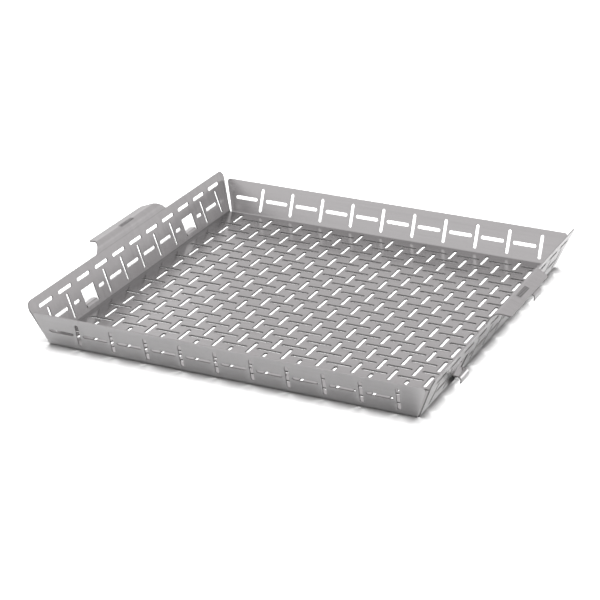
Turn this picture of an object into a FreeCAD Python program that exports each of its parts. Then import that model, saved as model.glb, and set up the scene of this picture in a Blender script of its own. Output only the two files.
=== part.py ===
"""Grill basket folded from one punched stainless steel sheet.

The floor lies on the ground plane, its underside at Z = 0, with the origin at the middle of the
underside. The rear wall is at +Y and the front wall at -Y. The side walls, at -X and +X, carry the
curled handles and the J-shaped hooks. Each formed region of the sheet is a body of its own, and
neighbouring regions meet face to face where a bend runs out into a flat.

Every wall has the same local frame: the origin on the fold line of the sheet's middle surface, at
the middle of the wall, X along the wall, Y up its slope and Z out of the basket.
"""
import FreeCAD, Part
import math
import os
import Sketcher
from FreeCAD import Vector

DIMENSIONS = [
    ("sheet_thickness", 1.0, "thickness of the steel sheet"),
    ("bend_radius", 1.5, "fold between floor and walls, to the middle of the sheet"),
    ("pitch_across", 28.8, "distance between like slots along X"),
    ("pitch_along", 29.7, "distance between like slots along Y"),
    ("slot_length", 20.9, "length of a slot over its round ends"),
    ("slot_width", 3.0, "width of a slot"),
    ("floor_width", 302.0, "floor along X, between the fold lines"),
    ("floor_depth", 326.4, "floor along Y, between the fold lines"),
    ("corner_relief", 1.6, "radius of the round notch in each floor corner"),
    ("end_wall_slope", 19.0, "lean of the front and rear walls from upright, degrees"),
    ("end_wall_height", 29.2, "front and rear walls, up the slope from the fold line"),
    ("front_wall_length", 300.8, "front wall along the fold line"),
    ("rear_wall_length", 299.0, "rear wall along the fold line"),
    ("end_wall_flare", 18.0, "lean of their upright edges in the wall's plane, degrees"),
    ("end_wall_corner", 2.5, "radius of their top corners"),
    ("end_slot_rise", 14.0, "middle of their slots, up the slope"),
    ("side_wall_slope", 21.3, "lean of the side walls from upright, degrees"),
    ("side_wall_height", 36.9, "side walls, up the slope from the fold line"),
    ("side_wall_length", 324.2, "side walls along the fold line"),
    ("side_wall_flare", 19.0, "lean of their upright edges in the wall's plane, degrees"),
    ("side_wall_corner", 6.0, "radius of their top corners"),
    ("side_slot_rise", 14.1, "middle of their lower slots, up the slope"),
    ("top_slot_rise", 28.7, "middle of their top row of slots, up the slope"),
    ("short_slot_length", 9.8, "the slots beside a window"),
    ("short_slot_offset", 20.3, "from the middle of a window to the middle of a short slot"),
    ("window_offset", 89.1, "from the middle of a side wall to the middle of a window"),
    ("window_width", 20.5, "window along the wall"),
    ("window_height", 15.0, "window up the slope"),
    ("window_rise", 4.9, "lower edge of a window, up the slope"),
    ("handle_width", 127.2, "handle where it leaves the wall"),
    ("handle_free_width", 93.6, "handle at its free edge"),
    ("handle_end_radius", 40.0, "hollow curve of the two ends of the handle"),
    ("handle_rise", 3.2, "straight run before the curl"),
    ("handle_radius", 5.2, "curl, to the middle of the sheet"),
    ("handle_turn", 86.0, "angle that the curl turns through, degrees"),
    ("handle_lip", 7.9, "straight run after the curl"),
    ("handle_corner", 1.5, "radius of the free corners"),
    ("hook_width", 17.0, "hook along the wall"),
    ("hook_root_radius", 2.0, "first bend, to the middle of the sheet"),
    ("hook_root_turn", 73.7, "angle of the first bend, degrees"),
    ("hook_shelf", 2.2, "flat run between the two bends"),
    ("hook_tip_radius", 2.9, "second bend, to the middle of the sheet"),
    ("hook_tip_turn", 102.0, "angle of the second bend, degrees"),
    ("hook_tip", 2.1, "straight run down to the tip"),
    ("hook_corner", 2.0, "radius of the corners of the tip"),
]

doc = FreeCAD.newDocument("grill_basket")
sheet = doc.addObject("Spreadsheet::Sheet", "Dimensions")
for row, (alias, number, note) in enumerate(DIMENSIONS, start=1):
    sheet.set("A%d" % row, note)
    sheet.set("B%d" % row, str(number))
    sheet.setAlias("B%d" % row, alias)
doc.recompute()

COLUMNS = 20  # slots across the floor, along X
ROWS = 21  # slots along the floor, along Y
ORIGIN = -1  # the number that stands for a sketch's own origin point
SAME_GAP = -1.0  # in a pattern's list of gaps, the gap that its offset gives
THICK = "Dimensions.sheet_thickness"
THROUGH = THICK + " * 6"


def setback(slope):
    """Expression for the distance from a wall's fold line to the end of its bend."""
    return "(Dimensions.bend_radius * tan((90 - Dimensions.%s) / 2))" % slope


# --- sketch helpers ------------------------------------------------------------------------


def origin_plane(body, role):
    """One of the body's own origin planes, such as XY_Plane."""
    return next(plane for plane in body.Origin.OriginFeatures if plane.Role == role)


def new_body(name):
    """An empty body whose label is the node's name."""
    body = doc.addObject("PartDesign::Body", name)
    body.Label = name
    return body


def new_sketch(body, name, role):
    """A sketch on one of the body's origin planes."""
    sketch = body.newObject("Sketcher::SketchObject", name)
    sketch.AttachmentSupport = [(origin_plane(body, role), "")]
    sketch.MapMode = "FlatFace"
    return sketch


def value(expression):
    """The plain number that an expression over the sheet gives."""
    return float(sheet.evalExpression(expression))


def bind(sketch, kind, *references_and_expression):
    """A driving dimension; its value is the expression that comes last."""
    *references, expression = references_and_expression
    size = value(expression)
    if kind == "Angle":
        size = FreeCAD.Units.Quantity(size, "deg").getValueAs("rad").Value
        expression = "(%s) * 1 deg" % expression
    index = sketch.addConstraint(Sketcher.Constraint(kind, *references, size))
    sketch.setExpression("Constraints[%d]" % index, expression)


def rule(sketch, kind, *references):
    """A geometric constraint, with no value."""
    sketch.addConstraint(Sketcher.Constraint(kind, *references))


def line(sketch, start, end):
    """A straight sketch edge between two (x, y) points."""
    return sketch.addGeometry(Part.LineSegment(Vector(*start, 0), Vector(*end, 0)))


def arc(sketch, centre, radius, start_degrees, end_degrees):
    """An anticlockwise sketch arc."""
    circle = Part.Circle(Vector(*centre, 0), Vector(0, 0, 1), radius)
    start = math.radians(start_degrees)
    end = math.radians(end_degrees)
    return sketch.addGeometry(Part.ArcOfCircle(circle, start, end))


def arc_between(sketch, start, end, radius, side):
    """An arc from start to end, anticlockwise for a side of 1 and clockwise for -1."""
    a = Vector(*start)
    b = Vector(*end)
    chord = b - a
    middle = (a + b) / 2
    to_centre = Vector(-chord.y, chord.x).normalize() * side
    rise = math.sqrt(value(radius) ** 2 - (chord.Length / 2) ** 2)
    centre = middle + to_centre * rise
    first, last = (a, b) if side > 0 else (b, a)
    start_angle = math.degrees(math.atan2(first.y - centre.y, first.x - centre.x))
    end_angle = math.degrees(math.atan2(last.y - centre.y, last.x - centre.x))
    return arc(sketch, centre[:2], value(radius), start_angle % 360, end_angle % 360)


def slot_outline(sketch, x_place, y_place, length, upright):
    """A round-ended slot; places and length are expressions, upright turns it along Y."""
    x = value(x_place)
    y = value(y_place)
    radius = value("Dimensions.slot_width") / 2
    reach = value(length) / 2 - radius
    turn = 90 if upright else 0
    ahead = Vector(0, 1) if upright else Vector(1, 0)
    aside = Vector(-ahead.y, ahead.x)
    centre = Vector(x, y)
    far = centre + ahead * reach
    near = centre - ahead * reach
    right_side = line(sketch, (near - aside * radius)[:2], (far - aside * radius)[:2])
    far_end = arc(sketch, far[:2], radius, turn - 90, turn + 90)
    left_side = line(sketch, (far + aside * radius)[:2], (near + aside * radius)[:2])
    near_end = arc(sketch, near[:2], radius, turn + 90, turn + 270)
    loop = [right_side, far_end, left_side, near_end]
    for edge, following in zip(loop, loop[1:] + loop[:1]):
        rule(sketch, "Tangent", edge, 2, following, 1)
    rule(sketch, "Vertical" if upright else "Horizontal", right_side)
    rule(sketch, "Equal", far_end, near_end)
    bind(sketch, "Radius", far_end, "Dimensions.slot_width / 2")
    back = "(%s - Dimensions.slot_width) / 2" % length
    x_centre = x_place if upright else "%s - %s" % (x_place, back)
    y_centre = "%s - %s" % (y_place, back) if upright else y_place
    bind(sketch, "DistanceX", ORIGIN, 1, near_end, 3, x_centre)
    bind(sketch, "DistanceY", ORIGIN, 1, near_end, 3, y_centre)
    bind(sketch, "Distance", near_end, 3, far_end, 3, "%s - Dimensions.slot_width" % length)


def rectangle_outline(sketch, x_place, y_place, width, height):
    """An upright rectangle around the place given; all four are expressions."""
    x = value(x_place)
    y = value(y_place)
    half_width = value(width) / 2
    half_height = value(height) / 2
    corners = [
        (x - half_width, y - half_height),
        (x + half_width, y - half_height),
        (x + half_width, y + half_height),
        (x - half_width, y + half_height),
    ]
    sides = [line(sketch, a, b) for a, b in zip(corners, corners[1:] + corners[:1])]
    for side, following in zip(sides, sides[1:] + sides[:1]):
        rule(sketch, "Coincident", side, 2, following, 1)
    for index, side in enumerate(sides):
        rule(sketch, "Vertical" if index % 2 else "Horizontal", side)
    bind(sketch, "DistanceX", sides[0], 1, sides[0], 2, width)
    bind(sketch, "DistanceY", sides[1], 1, sides[1], 2, height)
    bind(sketch, "DistanceX", ORIGIN, 1, sides[0], 1, "%s - %s / 2" % (x_place, width))
    bind(sketch, "DistanceY", ORIGIN, 1, sides[0], 1, "%s - %s / 2" % (y_place, height))


# --- feature helpers -----------------------------------------------------------------------


def through_pocket(body, name, sketch):
    """Cut a sketch's outlines right through the sheet, both ways from its plane."""
    pocket = body.newObject("PartDesign::Pocket", name)
    pocket.Profile = sketch
    pocket.SideType = "Symmetric"
    pocket.setExpression("Length", THROUGH)
    return pocket


def slot_row(body, name, places, rise, length, upright):
    """Slots at the places given along the wall, in wall half-pitches from its middle."""
    sketch = new_sketch(body, name + "_outlines", "XY_Plane")
    for place in places:
        slot_outline(sketch, place, rise, length, upright)
    through_pocket(body, name, sketch)


def bent_strip(body, name, width, start, heading, path):
    """A strip of the sheet swept along runs and left-hand bends in the YZ plane.

    path is a list of ("run", length) and ("bend", radius, turn); heading is the first
    direction in degrees from the body's Y axis.
    """
    spine = new_sketch(body, name + "_spine", "YZ_Plane")
    point = Vector(value(start), 0)
    angle = heading
    pieces = []
    for kind, *sizes in path:
        ahead = Vector(math.cos(math.radians(angle)), math.sin(math.radians(angle)))
        if kind == "run":
            following = point + ahead * value(sizes[0])
            piece = line(spine, point[:2], following[:2])
        else:
            radius, turn = (value(size) for size in sizes)
            centre = point + Vector(-ahead.y, ahead.x) * radius
            piece = arc(spine, centre[:2], radius, angle - 90, angle - 90 + turn)
            angle += turn
            end_angle = math.radians(angle - 90)
            following = centre + Vector(math.cos(end_angle), math.sin(end_angle)) * radius
        pieces.append(piece)
        point = following
    first = pieces[0]
    if path[0][0] == "run":
        rule(spine, "Horizontal", first)
    else:
        rule(spine, "Vertical", first, 3, first, 1)
    bind(spine, "DistanceX", ORIGIN, 1, first, 1, start)
    bind(spine, "DistanceY", ORIGIN, 1, first, 1, "0")
    for piece, following in zip(pieces, pieces[1:]):
        rule(spine, "Tangent", piece, 2, following, 1)
    for piece, (kind, *sizes) in zip(pieces, path):
        if kind == "run":
            bind(spine, "Distance", piece, sizes[0])
        else:
            bind(spine, "Radius", piece, sizes[0])
            bind(spine, "Angle", piece, sizes[1])

    section = new_sketch(body, name + "_section", "XZ_Plane")
    section.setExpression("AttachmentOffset.Base.z", "-(%s)" % start)
    rectangle_outline(section, "0", "0", width, THICK)
    pipe = body.newObject("PartDesign::AdditivePipe", name)
    pipe.Profile = section
    pipe.Spine = (spine, [])
    return pipe


def round_edges(body, name, radius, chosen):
    """Round the edges of the body's last feature for which chosen(edge) is true."""
    doc.recompute()
    base = body.Tip
    edges = [
        "Edge%d" % (index + 1)
        for index, edge in enumerate(base.Shape.Edges)
        if chosen(edge)
    ]
    fillet = body.newObject("PartDesign::Fillet", name)
    fillet.Base = (base, edges)
    fillet.setExpression("Radius", radius)


# --- floor ---------------------------------------------------------------------------------


def make_floor():
    """The flat floor between the bends, with slots in a basket-weave checkerboard."""
    body = new_body("floor_panel")
    outline = new_sketch(body, "floor_outline", "XY_Plane")
    width = "(Dimensions.floor_width - 2 * %s)" % setback("side_wall_slope")
    depth = "(Dimensions.floor_depth - 2 * %s)" % setback("end_wall_slope")
    rectangle_outline(outline, "0", "0", width, depth)
    pad = body.newObject("PartDesign::Pad", "floor_plate")
    pad.Profile = outline
    pad.setExpression("Length", THICK)

    notches = new_sketch(body, "corner_notches", "XY_Plane")
    for side in (-1, 1):
        for end in (-1, 1):
            centre = Vector(side * value(width) / 2, end * value(depth) / 2)
            relief = value("Dimensions.corner_relief")
            circle = notches.addGeometry(Part.Circle(centre, Vector(0, 0, 1), relief))
            bind(notches, "Radius", circle, "Dimensions.corner_relief")
            bind(notches, "DistanceX", ORIGIN, 1, circle, 3, "%d * %s / 2" % (side, width))
            bind(notches, "DistanceY", ORIGIN, 1, circle, 3, "%d * %s / 2" % (end, depth))
    through_pocket(body, "corner_reliefs", notches)

    # Each lattice starts at its front left slot: its first column and row, counted in half
    # pitches from the front left corner of the whole pattern, and its numbers of slots.
    lattices = [
        ("lengthwise_even", 0, 0, True),
        ("lengthwise_odd", 1, 1, True),
        ("crosswise_even", 0, 1, False),
        ("crosswise_odd", 1, 0, False),
    ]
    for name, column, row, upright in lattices:
        sketch = new_sketch(body, name + "_outline", "XY_Plane")
        x_place = "(%d - %d / 2) * Dimensions.pitch_across / 2" % (column, COLUMNS - 1)
        y_place = "(%d - %d / 2) * Dimensions.pitch_along / 2" % (row, ROWS - 1)
        slot_outline(sketch, x_place, y_place, "Dimensions.slot_length", upright)
        pocket = through_pocket(body, name + "_first", sketch)
        pattern = body.newObject("PartDesign::LinearPattern", name)
        pattern.Originals = [pocket]
        pattern.Direction = (sketch, ["H_Axis"])
        pattern.Mode = "Spacing"
        pattern.Occurrences = (COLUMNS - column + 1) // 2
        pattern.setExpression("Offset", "Dimensions.pitch_across")
        pattern.Direction2 = (sketch, ["V_Axis"])
        pattern.Mode2 = "Spacing"
        pattern.Occurrences2 = (ROWS - row + 1) // 2
        pattern.setExpression("Offset2", "Dimensions.pitch_along")
        pattern.Spacings2 = [SAME_GAP] * (pattern.Occurrences2 - 1)
        body.Tip = pattern
    return body


# --- walls ---------------------------------------------------------------------------------


def wall_outline(body, kind, length):
    """The wall's flat: a trapezium with its two top corners rounded."""
    sketch = new_sketch(body, body.Name + "_outline", "XY_Plane")
    bottom = setback(kind + "_wall_slope")
    height = "Dimensions.%s_wall_height" % kind
    half_length = "(%s / 2)" % length
    flare = "Dimensions.%s_wall_flare" % kind
    radius = "Dimensions.%s_wall_corner" % kind
    half_top = "(%s + (%s - %s) * tan(%s))" % (half_length, height, bottom, flare)
    corner_reach = "(%s * tan((90 + %s) / 2))" % (radius, flare)
    tilt = math.radians(value(flare))
    reach = value(corner_reach)
    low = value(bottom)
    high = value(height)
    foot = value(half_length)
    top = value(half_top)
    shoulder = (top - reach * math.sin(tilt), high - reach * math.cos(tilt))
    arc_x = top - reach
    arc_y = high - value(radius)
    base = line(sketch, (-foot, low), (foot, low))
    right = line(sketch, (foot, low), shoulder)
    right_corner = arc(sketch, (arc_x, arc_y), value(radius), -value(flare), 90)
    crest = line(sketch, (arc_x, high), (-arc_x, high))
    left_corner = arc(sketch, (-arc_x, arc_y), value(radius), 90, 180 + value(flare))
    left = line(sketch, (-shoulder[0], shoulder[1]), (-foot, low))
    rule(sketch, "Coincident", base, 2, right, 1)
    rule(sketch, "Tangent", right, 2, right_corner, 1)
    rule(sketch, "Tangent", right_corner, 2, crest, 1)
    rule(sketch, "Tangent", crest, 2, left_corner, 1)
    rule(sketch, "Tangent", left_corner, 2, left, 1)
    rule(sketch, "Coincident", left, 2, base, 1)
    rule(sketch, "Horizontal", base)
    rule(sketch, "Horizontal", crest)
    rule(sketch, "Equal", right_corner, left_corner)
    bind(sketch, "Radius", right_corner, radius)
    bind(sketch, "DistanceX", ORIGIN, 1, base, 2, half_length)
    bind(sketch, "DistanceX", ORIGIN, 1, base, 1, "-" + half_length)
    bind(sketch, "DistanceY", ORIGIN, 1, base, 1, bottom)
    bind(sketch, "DistanceY", ORIGIN, 1, crest, 1, height)
    bind(sketch, "DistanceX", ORIGIN, 1, crest, 1, "%s - %s" % (half_top, corner_reach))
    bind(sketch, "DistanceX", ORIGIN, 1, crest, 2, "%s - %s" % (corner_reach, half_top))
    return sketch


def make_wall(name, kind, length, yaw):
    """A wall's flat with the bend below it, turned by yaw degrees about the basket's Z axis."""
    body = new_body(name)
    flat = body.newObject("PartDesign::Pad", name + "_flat")
    flat.Profile = wall_outline(body, kind, length)
    flat.SideType = "Symmetric"
    flat.setExpression("Length", THICK)
    slope = "Dimensions.%s_wall_slope" % kind
    bend = [("bend", "Dimensions.bend_radius", "90 - " + slope)]
    bent_strip(body, name + "_bend", length, setback(kind + "_wall_slope"), 180, bend)
    span = "floor_width" if kind == "side" else "floor_depth"
    place = "vector(Dimensions.%s / 2 * sin(%d); -Dimensions.%s / 2 * cos(%d); %s / 2)"
    place = place % (span, yaw, span, yaw, THICK)
    rotation = "rotation(%d; 0; 90 + %s)" % (yaw, slope)
    body.setExpression("Placement", "placement(%s; %s)" % (place, rotation))
    return body


def make_end_wall(name, yaw, along_x):
    """The front or rear wall: flat slots in even columns, upright ones in odd columns.

    Columns are counted from -X; along_x is 1 where the wall's own X axis points to +X, else -1.
    """
    body = make_wall(name, "end", "Dimensions.%s_length" % name, yaw)
    middle = (COLUMNS - 1) / 2
    rise = "Dimensions.end_slot_rise"
    for row_name, first, upright in (("_flat_slots", 0, False), ("_upright_slots", 1, True)):
        places = [
            "%g * Dimensions.pitch_across / 2" % (along_x * (column - middle))
            for column in range(first, COLUMNS, 2)
        ]
        slot_row(body, name + row_name, places, rise, "Dimensions.slot_length", upright)
    return body


def make_side_wall(name, yaw):
    """A side wall: two square windows, and a basket weave of slots between and around them."""
    body = make_wall(name, "side", "Dimensions.side_wall_length", yaw)
    length = "Dimensions.slot_length"
    lower = "Dimensions.side_slot_rise"
    half_pitch = "%d * Dimensions.pitch_along / 2"
    top_row = [half_pitch % step for step in range(-10, 11, 2)]
    slot_row(body, name + "_top_slots", top_row, "Dimensions.top_slot_rise", length, False)
    upright_row = [half_pitch % step for step in (-10, -8, -4, -2, 0, 2, 4, 8, 10)]
    slot_row(body, name + "_upright_slots", upright_row, lower, length, True)
    flat_row = [half_pitch % step for step in (-9, -3, -1, 1, 3, 9)]
    slot_row(body, name + "_flat_slots", flat_row, lower, length, False)
    short_row = [
        "%d * Dimensions.window_offset + %d * Dimensions.short_slot_offset" % (side, beside)
        for side in (-1, 1)
        for beside in (-1, 1)
    ]
    slot_row(body, name + "_short_slots", short_row, lower, "Dimensions.short_slot_length", False)
    windows = new_sketch(body, name + "_window_outlines", "XY_Plane")
    middle_height = "(Dimensions.window_rise + Dimensions.window_height / 2)"
    for side in (-1, 1):
        x_place = "%d * Dimensions.window_offset" % side
        size = ("Dimensions.window_width", "Dimensions.window_height")
        rectangle_outline(windows, x_place, middle_height, *size)
    through_pocket(body, name + "_windows", windows)
    return body


# --- handles and hooks ---------------------------------------------------------------------


def make_handle(name, wall):
    """The lip on a side wall: on up the wall, round the curl and out, with tapered ends."""
    body = new_body(name)
    path = [
        ("run", "Dimensions.handle_rise"),
        ("bend", "Dimensions.handle_radius", "Dimensions.handle_turn"),
        ("run", "Dimensions.handle_lip"),
    ]
    blank_width = "(Dimensions.handle_width + 2 * %s)" % THICK
    bent_strip(body, name + "_curl", blank_width, "0", 0, path)

    # The tapered ends are cut square to the chord of the curl, half way through its turn.
    trim = new_sketch(body, name + "_trim", "XY_Plane")
    half_turn = "(Dimensions.handle_turn / 2)"
    turned = "placement(vector(0; 0; 0); rotation(vector(1; 0; 0); %s))" % half_turn
    trim.setExpression("AttachmentOffset", turned)
    straight = "(Dimensions.handle_rise + Dimensions.handle_lip) * cos(%s)" % half_turn
    depth = "(%s + 2 * Dimensions.handle_radius * sin(%s))" % (straight, half_turn)
    taper = "((Dimensions.handle_width - Dimensions.handle_free_width) / 2 / %s)" % depth
    low = "-2 * " + THICK
    high = "(%s + 2 * %s)" % (depth, THICK)
    near = "(Dimensions.handle_width / 2 - %s * %s)" % (taper, low)
    far = "(Dimensions.handle_width / 2 - %s * %s)" % (taper, high)
    outside = "Dimensions.handle_width"
    for side in (-1, 1):
        places = [(near, low), (outside, low), (outside, high), (far, high)]
        corners = [(side * value(x), value(y)) for x, y in places]
        edges = [line(trim, a, b) for a, b in zip(corners, corners[1:])]
        for edge, following in zip(edges, edges[1:]):
            rule(trim, "Coincident", edge, 2, following, 1)
        for edge, (x_place, y_place) in zip(edges, places):
            bind(trim, "DistanceX", ORIGIN, 1, edge, 1, "%d * %s" % (side, x_place))
            bind(trim, "DistanceY", ORIGIN, 1, edge, 1, y_place)
        bind(trim, "DistanceX", ORIGIN, 1, edges[-1], 2, "%d * %s" % (side, far))
        bind(trim, "DistanceY", ORIGIN, 1, edges[-1], 2, high)
        hollow = arc_between(trim, corners[-1], corners[0], "Dimensions.handle_end_radius", side)
        start, end = (1, 2) if side > 0 else (2, 1)
        rule(trim, "Coincident", edges[-1], 2, hollow, start)
        rule(trim, "Coincident", hollow, end, edges[0], 1)
        bind(trim, "Radius", hollow, "Dimensions.handle_end_radius")
    pocket = body.newObject("PartDesign::Pocket", name + "_ends")
    pocket.Profile = trim
    pocket.SideType = "Symmetric"
    pocket.setExpression("Length", "Dimensions.handle_radius * 8")

    top = "vector(0; Dimensions.side_wall_height; 0)"
    place = "%s.Placement * placement(%s; rotation(0; 0; 0))" % (wall.Name, top)
    body.setExpression("Placement", place)
    curled_out = value("Dimensions.handle_radius")

    def free_corner(edge):
        """The short edges through the sheet at both ends of the free edge."""
        return edge.Length < 2 * value(THICK) and edge.CenterOfMass.z > curled_out

    round_edges(body, name + "_corners", "Dimensions.handle_corner", free_corner)
    return body


def make_hook(name, wall, side):
    """A J-shaped tongue from a window's lower edge: out over a short shelf, then down."""
    body = new_body(name)
    path = [
        ("bend", "Dimensions.hook_root_radius", "Dimensions.hook_root_turn"),
        ("run", "Dimensions.hook_shelf"),
        ("bend", "Dimensions.hook_tip_radius", "Dimensions.hook_tip_turn"),
        ("run", "Dimensions.hook_tip"),
    ]
    bent_strip(body, name + "_tongue", "Dimensions.hook_width", "0", 0, path)
    edge_place = "vector(%d * Dimensions.window_offset; Dimensions.window_rise; 0)" % side
    place = "%s.Placement * placement(%s; rotation(0; 0; 0))" % (wall.Name, edge_place)
    body.setExpression("Placement", place)
    outermost = value("Dimensions.hook_root_radius + Dimensions.hook_shelf")

    def tip_corner(edge):
        """The short edges through the sheet at both corners of the tip."""
        middle = edge.CenterOfMass
        return edge.Length < 1.5 * value(THICK) and middle.z > outermost and middle.y < 0

    round_edges(body, name + "_corners", "Dimensions.hook_corner", tip_corner)
    return body


# --- the basket ----------------------------------------------------------------------------

floor = make_floor()
front_wall = make_end_wall("front_wall", 0, 1)
rear_wall = make_end_wall("rear_wall", 180, -1)
left_wall = make_side_wall("left_wall", -90)
right_wall = make_side_wall("right_wall", 90)
bodies = [
    floor,
    front_wall,
    rear_wall,
    left_wall,
    right_wall,
    make_handle("left_handle", left_wall),
    make_handle("right_handle", right_wall),
    make_hook("left_front_hook", left_wall, 1),
    make_hook("left_rear_hook", left_wall, -1),
    make_hook("right_front_hook", right_wall, -1),
    make_hook("right_rear_hook", right_wall, 1),
]
doc.recompute()

for item in doc.Objects:
    if "Invalid" in item.State or "Error" in item.State:
        raise RuntimeError("%s failed: %s" % (item.Name, item.State))
for body in bodies:
    shape = body.Shape
    if shape.isNull() or not shape.isValid() or len(shape.Solids) != 1:
        raise RuntimeError("%s is not one valid solid" % body.Label)

os.makedirs("parts", exist_ok=True)
for body in bodies:
    body.Shape.exportStep("parts/%s.step" % body.Label)
    print("%-18s %8.1f mm3" % (body.Label, body.Shape.Volume))
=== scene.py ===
"""A slotted stainless steel grill basket on a pale studio floor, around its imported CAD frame."""

import math

import bpy
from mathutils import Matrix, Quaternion, Vector


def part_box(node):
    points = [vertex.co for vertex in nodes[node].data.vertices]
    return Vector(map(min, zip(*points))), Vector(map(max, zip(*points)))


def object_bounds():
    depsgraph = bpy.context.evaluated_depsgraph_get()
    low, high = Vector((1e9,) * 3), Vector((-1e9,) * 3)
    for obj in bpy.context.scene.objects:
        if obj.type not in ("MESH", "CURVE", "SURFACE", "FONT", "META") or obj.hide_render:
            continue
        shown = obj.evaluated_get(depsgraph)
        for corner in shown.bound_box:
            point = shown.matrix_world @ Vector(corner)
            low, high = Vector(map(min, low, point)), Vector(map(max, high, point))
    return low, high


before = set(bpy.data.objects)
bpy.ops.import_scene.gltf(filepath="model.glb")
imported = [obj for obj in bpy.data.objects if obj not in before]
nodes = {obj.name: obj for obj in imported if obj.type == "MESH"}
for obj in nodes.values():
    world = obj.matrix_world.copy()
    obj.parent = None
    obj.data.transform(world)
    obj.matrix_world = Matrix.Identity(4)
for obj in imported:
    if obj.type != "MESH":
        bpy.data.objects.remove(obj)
cad_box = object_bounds()
cad_low, cad_high = cad_box

MM = 0.001

# --- shader helpers ------------------------------------------------------------------------


class Shader:
    """A material's node tree, with one call for each kind of node that the scene needs."""

    def __init__(self, name):
        self.material = bpy.data.materials.new(name)
        self.material.use_nodes = True
        self.tree = self.material.node_tree
        self.tree.nodes.clear()

    def add(self, kind, **settings):
        """A new node with its settings."""
        made = self.tree.nodes.new(kind)
        for key, setting in settings.items():
            setattr(made, key, setting)
        return made

    def put(self, socket, source):
        """Link source into a socket, or set it where source is a plain value."""
        if isinstance(source, bpy.types.NodeSocket):
            self.tree.links.new(source, socket)
        else:
            socket.default_value = source

    def math(self, operation, *sources):
        """A Math node on one or two numbers."""
        made = self.add("ShaderNodeMath", operation=operation)
        for socket, source in zip(made.inputs, sources):
            self.put(socket, source)
        return made.outputs[0]

    def vector(self, operation, *sources):
        """A Vector Math node; gives its number for a dot product, else its vector."""
        made = self.add("ShaderNodeVectorMath", operation=operation)
        for socket, source in zip(made.inputs, sources):
            self.put(socket, source)
        return made.outputs["Value" if operation == "DOT_PRODUCT" else "Vector"]

    def split(self, source):
        """The X, Y and Z parts of a vector."""
        made = self.add("ShaderNodeSeparateXYZ")
        self.put(made.inputs[0], source)
        return made.outputs

    def remap(self, source, low, high, to_low, to_high):
        """source carried from low..high to to_low..to_high, clamped and eased."""
        made = self.add("ShaderNodeMapRange", interpolation_type="SMOOTHSTEP")
        for socket, item in zip(made.inputs, (source, low, high, to_low, to_high)):
            self.put(socket, item)
        return made.outputs[0]

    def noise(self, place, stretch, detail=2.0, roughness=0.5):
        """Noise between 0 and 1; stretch gives its cycles per metre along X, Y and Z."""
        scaled = self.vector("MULTIPLY", place, stretch)
        made = self.add("ShaderNodeTexNoise", noise_dimensions="3D")
        self.put(made.inputs["Vector"], scaled)
        made.inputs["Scale"].default_value = 1.0
        made.inputs["Detail"].default_value = detail
        made.inputs["Roughness"].default_value = roughness
        return made.outputs["Fac"]

    def mix(self, share, first, second):
        """The colour between first and second."""
        made = self.add("ShaderNodeMix", data_type="RGBA")
        self.put(made.inputs[0], share)
        self.put(made.inputs[6], first)
        self.put(made.inputs[7], second)
        return made.outputs[2]


# --- stainless steel -----------------------------------------------------------------------

STEEL = (0.555, 0.55, 0.552, 1)
# Painted shade: the cut faces, such as the insides of the slots, are painted much darker than the
# sheet to stand in for the shade inside the slots; their duller finish is real and comes from
# CUT_ROUGHNESS.
SHADED_CUT_STEEL = (0.24, 0.235, 0.235, 1)
WORN_STEEL = (0.80, 0.79, 0.78, 1)
WORN_SHARE = 0.5  # how far a fully worn edge goes from its own colour to WORN_STEEL
INK = (0.05, 0.05, 0.05, 1)
INK_SHARE = 0.9  # how far the bars go from the sheet's colour to INK

# Cycles per metre of each pattern, along the sheet's grain and across it.
GRAIN_ALONG = 9
GRAIN_ACROSS = 1500
BANDS_ALONG = 5
BANDS_ACROSS = 160
SMUDGES = 14
WEAR_PATCHES = 120

# How much each pattern lightens or darkens the steel, as a share of its colour.
GRAIN_CONTRAST = 0.03
BAND_CONTRAST = 0.02
SMUDGE_CONTRAST = 0.03

# Roughness: the grain's range, what a smudge and a sheared face add, what wear takes off.
SMOOTH_GRAIN = 0.15
COARSE_GRAIN = 0.22
SMUDGE_ROUGHNESS = 0.05
CUT_ROUGHNESS = 0.2
WORN_ROUGHNESS = 0.12

GRAIN_SMEAR = 0.6  # anisotropy
ACROSS_GRAIN = (0.04, 1.0, 0.02)  # the way that reflections smear, just off Y
GRAIN_BUMP = 0.12
GRAIN_DEPTH = 0.02 * MM

EDGE_RADIUS = 0.35 * MM  # the rounding that the shading gives to sharp edges
EDGE_WORN = 0.80  # the cosine of the rounding's turn where an edge is fully worn
EDGE_UNWORN = 0.97  # and where its wear ends
LEAST_WEAR = 0.3  # the wear between patches, as a share of the wear in them

SEAM_WIDTH = 1.5 * MM  # the strip beside a bend's seam that has no worn edge
RIM_WIDTH = 1.2 * MM  # the strip along a wall's or a handle's rim that holds its cut edge
# Painted shade along the left fold: a darker strip that stands in for the darker reflections
# there, not a mark of the bending.
PAINTED_FOLD_WIDTH = 18 * MM  # the floor's part of the darker strip along the left fold
PAINTED_FOLD_HEIGHT = 1.7 * MM  # the wall's part of it
FLOOR_PAINTED_FOLD_SHADE = 0.6  # the strip's share of the sheet's colour
WALL_PAINTED_FOLD_SHADE = 0.45

MARK_LENGTH = 22 * MM  # a plain row of bars on top of each handle
MARK_WIDTH = 4.0 * MM
MARK_SHIFT = Vector((1.6 * MM, 0, 0))  # from a handle's middle
MARK_BAR_STEP = 2.4 * MM
MARK_BAR_SHARE = 0.6  # the part of each step that is bar


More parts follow.
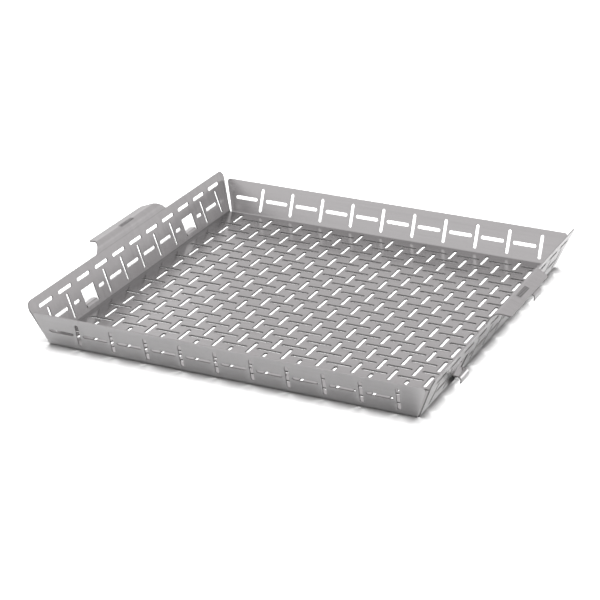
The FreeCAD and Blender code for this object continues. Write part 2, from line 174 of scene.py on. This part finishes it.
def free_edge_test(shader, node, normal, place):
    """1 on the cut edge along a handle's outer rim, else 0."""
    low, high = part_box(node)
    outward = 1 if node.startswith("right") else -1
    rim = max(abs(low.x), abs(high.x)) - RIM_WIDTH
    from_middle = shader.math("MULTIPLY", shader.split(place)[0], outward)
    facing_out = shader.math("MULTIPLY", shader.split(normal)[0], outward)
    at_the_rim = shader.math("GREATER_THAN", from_middle, rim)
    on_edge = shader.math("GREATER_THAN", facing_out, 0.8)
    return shader.math("MULTIPLY", at_the_rim, on_edge)


def cut_face_test(shader, node, normal, place):
    """1 on the sheared faces of a node's sheet, such as the insides of its slots, else 0."""
    x, y, z = shader.split(normal)
    if node == "floor_panel":
        return shader.math("LESS_THAN", shader.math("ABSOLUTE", z), 0.5)
    across, along = (y, x) if node in ("front_wall", "rear_wall") else (x, y)
    end_face = shader.math("GREATER_THAN", shader.math("ABSOLUTE", along), 0.5)
    if node.endswith("handle"):
        return shader.math("MAXIMUM", end_face, free_edge_test(shader, node, normal, place))
    if node.endswith("hook"):
        return end_face
    # The sheet's two faces lean one way and the slots' upper and lower faces the other way, so
    # that the sign of this product tells them apart.
    lean = 1 if node in ("front_wall", "left_wall") else -1
    leaning = shader.math("MULTIPLY", shader.math("MULTIPLY", across, z), lean)
    slot_face = shader.math("LESS_THAN", leaning, -0.05)
    below_rim = shader.math("LESS_THAN", shader.split(place)[2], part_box(node)[1].z - RIM_WIDTH)
    slot_face = shader.math("MULTIPLY", slot_face, below_rim)
    return shader.math("MAXIMUM", end_face, slot_face)


def free_edge_share(shader, node, place):
    """1 where a node's edges are free, 0 beside the bends where it runs on into another."""
    low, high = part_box(node)
    x, y, z = shader.split(place)
    from_middle = shader.math("ABSOLUTE", x)
    if node == "floor_panel":
        inside_x = shader.math("LESS_THAN", from_middle, high.x - SEAM_WIDTH)
        inside_y = shader.math("LESS_THAN", shader.math("ABSOLUTE", y), high.y - SEAM_WIDTH)
        return shader.math("MULTIPLY", inside_x, inside_y)
    if node.endswith("hook"):
        root = min(abs(low.x), abs(high.x))
        return shader.math("GREATER_THAN", from_middle, root + SEAM_WIDTH)
    above = shader.math("GREATER_THAN", z, low.z + SEAM_WIDTH)
    if node in ("left_wall", "right_wall"):
        lip_low, lip_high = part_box(node.replace("wall", "handle"))
        beside = shader.math("GREATER_THAN", shader.math("ABSOLUTE", y), lip_high.y)
        below = shader.math("LESS_THAN", z, lip_low.z - SEAM_WIDTH)
        above = shader.math("MULTIPLY", above, shader.math("MAXIMUM", beside, below))
    return above


def painted_fold_shade(shader, node, place):
    """A painted shade: a darker strip along the left wall's fold that stands in for the darker
    reflections there; 1 away from it.
    """
    low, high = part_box(node)
    x, y, z = shader.split(place)
    if node == "left_wall":
        height = shader.math("SUBTRACT", z, low.z)
        return shader.remap(height, PAINTED_FOLD_HEIGHT, 1.6 * PAINTED_FOLD_HEIGHT, WALL_PAINTED_FOLD_SHADE, 1.0)
    away = shader.math("SUBTRACT", x, low.x)
    return shader.remap(away, 0.25 * PAINTED_FOLD_WIDTH, PAINTED_FOLD_WIDTH, FLOOR_PAINTED_FOLD_SHADE, 1.0)


def mark_test(shader, node, normal, place):
    """1 on the row of short bars in the middle of a handle's top, else 0."""
    low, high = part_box(node)
    middle = (low + high) / 2 + MARK_SHIFT
    x, y, z = shader.split(shader.vector("SUBTRACT", place, tuple(middle)))
    in_row = shader.math("LESS_THAN", shader.math("ABSOLUTE", x), MARK_WIDTH / 2)
    in_length = shader.math("LESS_THAN", shader.math("ABSOLUTE", y), MARK_LENGTH / 2)
    steps = shader.math("DIVIDE", y, MARK_BAR_STEP)
    on_bar = shader.math("LESS_THAN", shader.math("FLOORED_MODULO", steps, 1.0), MARK_BAR_SHARE)
    on_top = shader.math("GREATER_THAN", shader.split(normal)[2], 0.3)
    across = shader.math("MULTIPLY", in_row, on_top)
    return shader.math("MULTIPLY", across, shader.math("MULTIPLY", in_length, on_bar))


def pattern(shader, node, place, along, across, **settings):
    """Noise drawn out along the rolled sheet's grain, which runs along X and up the side walls."""
    up_the_wall = node.startswith(("left", "right"))
    stretch = (along, across, along) if up_the_wall else (along, across, across)
    return shader.noise(place, stretch, **settings)


def face_colour(shader, node, place, grain, smudge):
    """The sheet's colour, with its grain, bands and smudges, and a painted shade along the left
    fold.
    """
    bands = pattern(shader, node, place, BANDS_ALONG, BANDS_ACROSS)
    patterns = (
        (grain, GRAIN_CONTRAST),
        (bands, BAND_CONTRAST),
        (smudge, SMUDGE_CONTRAST),
    )
    shade = 1.0
    for source, contrast in patterns:
        part = shader.remap(source, 0.3, 0.7, 1 - contrast, 1 + contrast)
        shade = shader.math("MULTIPLY", shade, part)
    # Painted shade along the left fold, standing in for the darker reflections there.
    if node in ("floor_panel", "left_wall"):
        shade = shader.math("MULTIPLY", shade, painted_fold_shade(shader, node, place))
    tone = shader.add("ShaderNodeCombineXYZ")
    for socket in tone.inputs:
        shader.put(socket, shade)
    return shader.vector("MULTIPLY", STEEL[:3], tone.outputs[0])


def worn_test(shader, node, normal, place, rounded):
    """Near 1 in patches along a node's free edges, where rounded turns away from normal."""
    bent = shader.vector("DOT_PRODUCT", rounded, normal)
    worn = shader.remap(bent, EDGE_WORN, EDGE_UNWORN, 1.0, 0.0)
    patches = shader.noise(place, (WEAR_PATCHES, WEAR_PATCHES, WEAR_PATCHES))
    patchy = shader.remap(patches, 0.35, 0.65, LEAST_WEAR, 1.0)
    worn = shader.math("MULTIPLY", worn, patchy)
    return shader.math("MULTIPLY", worn, free_edge_share(shader, node, place))


def steel(node):
    """Satin stainless sheet for one node: a fine grain along X, smudges, and worn edges."""
    shader = Shader("brushed_stainless_" + node)
    place = shader.add("ShaderNodeTexCoord").outputs["Object"]
    normal = shader.add("ShaderNodeNewGeometry").outputs["Normal"]
    bevel = shader.add("ShaderNodeBevel", samples=4)
    bevel.inputs["Radius"].default_value = EDGE_RADIUS
    rounded = bevel.outputs[0]

    grain = pattern(shader, node, place, GRAIN_ALONG, GRAIN_ACROSS, detail=3.0, roughness=0.6)
    smudge = shader.noise(place, (SMUDGES, SMUDGES, SMUDGES), detail=3.0, roughness=0.55)
    worn = worn_test(shader, node, normal, place, rounded)
    cut = cut_face_test(shader, node, normal, place)

    # Painted shade on the cut faces, standing in for the shade inside the slots.
    colour = shader.mix(cut, face_colour(shader, node, place, grain, smudge), SHADED_CUT_STEEL)
    colour = shader.mix(shader.math("MULTIPLY", worn, WORN_SHARE), colour, WORN_STEEL)
    if node.endswith("handle"):
        mark = mark_test(shader, node, normal, place)
        colour = shader.mix(shader.math("MULTIPLY", mark, INK_SHARE), colour, INK)

    rough = shader.remap(grain, 0.25, 0.75, SMOOTH_GRAIN, COARSE_GRAIN)
    rough = shader.math("ADD", rough, shader.remap(smudge, 0.35, 0.7, 0.0, SMUDGE_ROUGHNESS))
    rough = shader.math("ADD", rough, shader.math("MULTIPLY", cut, CUT_ROUGHNESS))
    rough = shader.math("SUBTRACT", rough, shader.math("MULTIPLY", worn, WORN_ROUGHNESS))

    bump = shader.add("ShaderNodeBump")
    bump.inputs["Strength"].default_value = GRAIN_BUMP
    bump.inputs["Distance"].default_value = GRAIN_DEPTH
    shader.put(bump.inputs["Height"], grain)
    shader.put(bump.inputs["Normal"], rounded)

    surface = shader.add("ShaderNodeBsdfPrincipled")
    shader.put(surface.inputs["Base Color"], colour)
    surface.inputs["Metallic"].default_value = 1.0
    shader.put(surface.inputs["Roughness"], rough)
    surface.inputs["Anisotropic"].default_value = GRAIN_SMEAR
    across_grain = shader.add("ShaderNodeCombineXYZ")
    for socket, part in zip(across_grain.inputs, ACROSS_GRAIN):
        socket.default_value = part
    shader.put(surface.inputs["Tangent"], across_grain.outputs[0])
    shader.put(surface.inputs["Normal"], bump.outputs[0])
    output = shader.add("ShaderNodeOutputMaterial")
    shader.put(output.inputs["Surface"], surface.outputs[0])
    return shader.material


for name, thing in nodes.items():
    thing.data.materials.clear()
    thing.data.materials.append(steel(name))

# --- studio --------------------------------------------------------------------------------

FLOOR_SIZE = 12.0
SEEN_FLOOR_SHADE = 0.27  # lit to a full white by its own lamps, as a high-key backdrop is
MIRRORED_FLOOR_SHADE = 0.4  # the floor that the steel mirrors and that lights it from below
SEEN_FLOOR_GAP = 0.2 * MM  # keeps each floor off the basket's underside
MIRRORED_FLOOR_GAP = 0.4 * MM


def floor_sheet(name, gap, shade):
    """A large matte floor just below the basket."""
    half = FLOOR_SIZE / 2
    level = cad_low.z - gap
    corners = [(x * half, y * half, level) for x, y in ((-1, -1), (1, -1), (1, 1), (-1, 1))]
    mesh = bpy.data.meshes.new(name)
    mesh.from_pydata(corners, [], [(0, 1, 2, 3)])
    paint = Shader(name + "_paint")
    matte = paint.add("ShaderNodeBsdfDiffuse")
    matte.inputs["Color"].default_value = (shade, shade, shade, 1)
    output = paint.add("ShaderNodeOutputMaterial")
    paint.put(output.inputs["Surface"], matte.outputs[0])
    mesh.materials.append(paint.material)
    sheet = bpy.data.objects.new(name, mesh)
    bpy.context.scene.collection.objects.link(sheet)
    sheet.visible_shadow = False  # so that neither floor shades the other
    return sheet


seen_floor = floor_sheet("seen_floor", SEEN_FLOOR_GAP, SEEN_FLOOR_SHADE)
seen_floor.visible_glossy = False
seen_floor.visible_diffuse = False
mirrored_floor = floor_sheet("mirrored_floor", MIRRORED_FLOOR_GAP, MIRRORED_FLOOR_SHADE)
mirrored_floor.visible_camera = False


def direction(azimuth, elevation):
    """The way from the basket to a place; azimuth 0 is in front, 90 to the right, in degrees."""
    around = math.radians(azimuth)
    above = math.radians(elevation)
    x = math.sin(around) * math.cos(above)
    y = -math.cos(around) * math.cos(above)
    return Vector((x, y, math.sin(above)))


def softbox(name, place, distance, size, power, only_on=(), unshaded_by=()):
    """A rectangular soft light that faces the basket, in metres and watts.

    place is its azimuth and elevation, and size its width and height. It lights only the objects
    in only_on where they're given. A node whose name ends with one of unshaded_by throws no
    shadow in its light.
    """
    data = bpy.data.lights.new(name, "AREA")
    data.shape = "RECTANGLE"
    data.size, data.size_y = size
    data.energy = power
    lamp = bpy.data.objects.new(name, data)
    away = direction(*place)
    lamp.location = away * distance
    lamp.rotation_mode = "QUATERNION"
    lamp.rotation_quaternion = away.to_track_quat("Z", "Y")
    bpy.context.scene.collection.objects.link(lamp)
    if only_on:
        lit = bpy.data.collections.new(name + "_lights")
        for thing in only_on:
            lit.objects.link(thing)
        lamp.light_linking.receiver_collection = lit
    if unshaded_by:
        shading = bpy.data.collections.new(name + "_is_shaded_by")
        for node_name, thing in nodes.items():
            if not node_name.endswith(unshaded_by):
                shading.objects.link(thing)
        lamp.light_linking.blocker_collection = shading


# Soft boxes that light everything, and that the steel mirrors.
ROOM = 2.5  # metres from the basket
LOW = 14  # degrees above the floor
softbox("right", (90, LOW), ROOM, (1.5, 1.0), 2.4)
softbox("right_high", (90, 45), ROOM, (1.8, 1.4), 4.8)
softbox("rear_right", (135, LOW), ROOM, (1.5, 1.0), 0.7)
softbox("rear_left", (225, LOW), ROOM, (1.5, 1.0), 1.1)
softbox("left", (270, LOW), ROOM, (1.5, 1.0), 2.4)
softbox("front_left", (300, 10), ROOM, (1.2, 0.8), 1.5)
softbox("front", (335, LOW), ROOM, (2.2, 1.0), 1.2)

# Bright pools on the floor that the steel mirrors.
POOL_LAMP = (0.5, 0.5)
softbox("left_pool", (300, 48), 0.85, POOL_LAMP, 8.0, only_on=[mirrored_floor])
softbox("right_pool", (120, 45), 0.9, POOL_LAMP, 13.4, only_on=[mirrored_floor])

# A glint on the front right hook.
glinting = [nodes["right_front_hook"]]
softbox("hook_glint", (152, LOW), ROOM, (0.9, 1.0), 3.6, only_on=glinting)

# The seen floor's own lamps, which make it white and draw the basket's shadow on it.
STUDIO = 8.0  # metres from the basket
BACKDROP = {"only_on": [seen_floor], "unshaded_by": ("hook", "handle")}
softbox("backdrop_right", (76, 73.5), STUDIO, (5.5, 1.5), 2250, **BACKDROP)
softbox("backdrop_left", (235, 57), STUDIO, (6.0, 5.0), 2800, **BACKDROP)

WALL_COLOUR = (1.02, 0.99, 0.997, 1)
WALL_BRIGHTNESS = 0.70

sky = bpy.data.worlds.new("studio_walls")
sky.use_nodes = True
background = sky.node_tree.nodes["Background"]
background.inputs["Color"].default_value = WALL_COLOUR
background.inputs["Strength"].default_value = WALL_BRIGHTNESS
bpy.context.scene.world = sky

bpy.context.scene.view_settings.view_transform = "Standard"

# --- camera --------------------------------------------------------------------------------

CAMERA_AZIMUTH = 23.01  # degrees round from the front towards the right
CAMERA_ELEVATION = 22.45
CAMERA_ROLL = 1.156
CAMERA_DISTANCE = 1.7313
CAMERA_LENS = 128.64  # mm
CAMERA_SENSOR = 36  # mm
AIM_OFFSET = Vector((-12.8 * MM, 1.3 * MM, 0))  # from the middle of the basket's footprint

middle = (cad_low + cad_high) / 2
aim = Vector((middle.x, middle.y, cad_low.z)) + AIM_OFFSET
back = direction(CAMERA_AZIMUTH, CAMERA_ELEVATION)
camera_data = bpy.data.cameras.new("camera")
camera_data.lens = CAMERA_LENS
camera_data.sensor_width = CAMERA_SENSOR
camera = bpy.data.objects.new("camera", camera_data)
camera.location = aim + back * CAMERA_DISTANCE
camera.rotation_mode = "QUATERNION"
roll = Quaternion((0, 0, 1), math.radians(CAMERA_ROLL))
camera.rotation_quaternion = back.to_track_quat("Z", "Y") @ roll
bpy.context.scene.collection.objects.link(camera)
bpy.context.scene.camera = camera
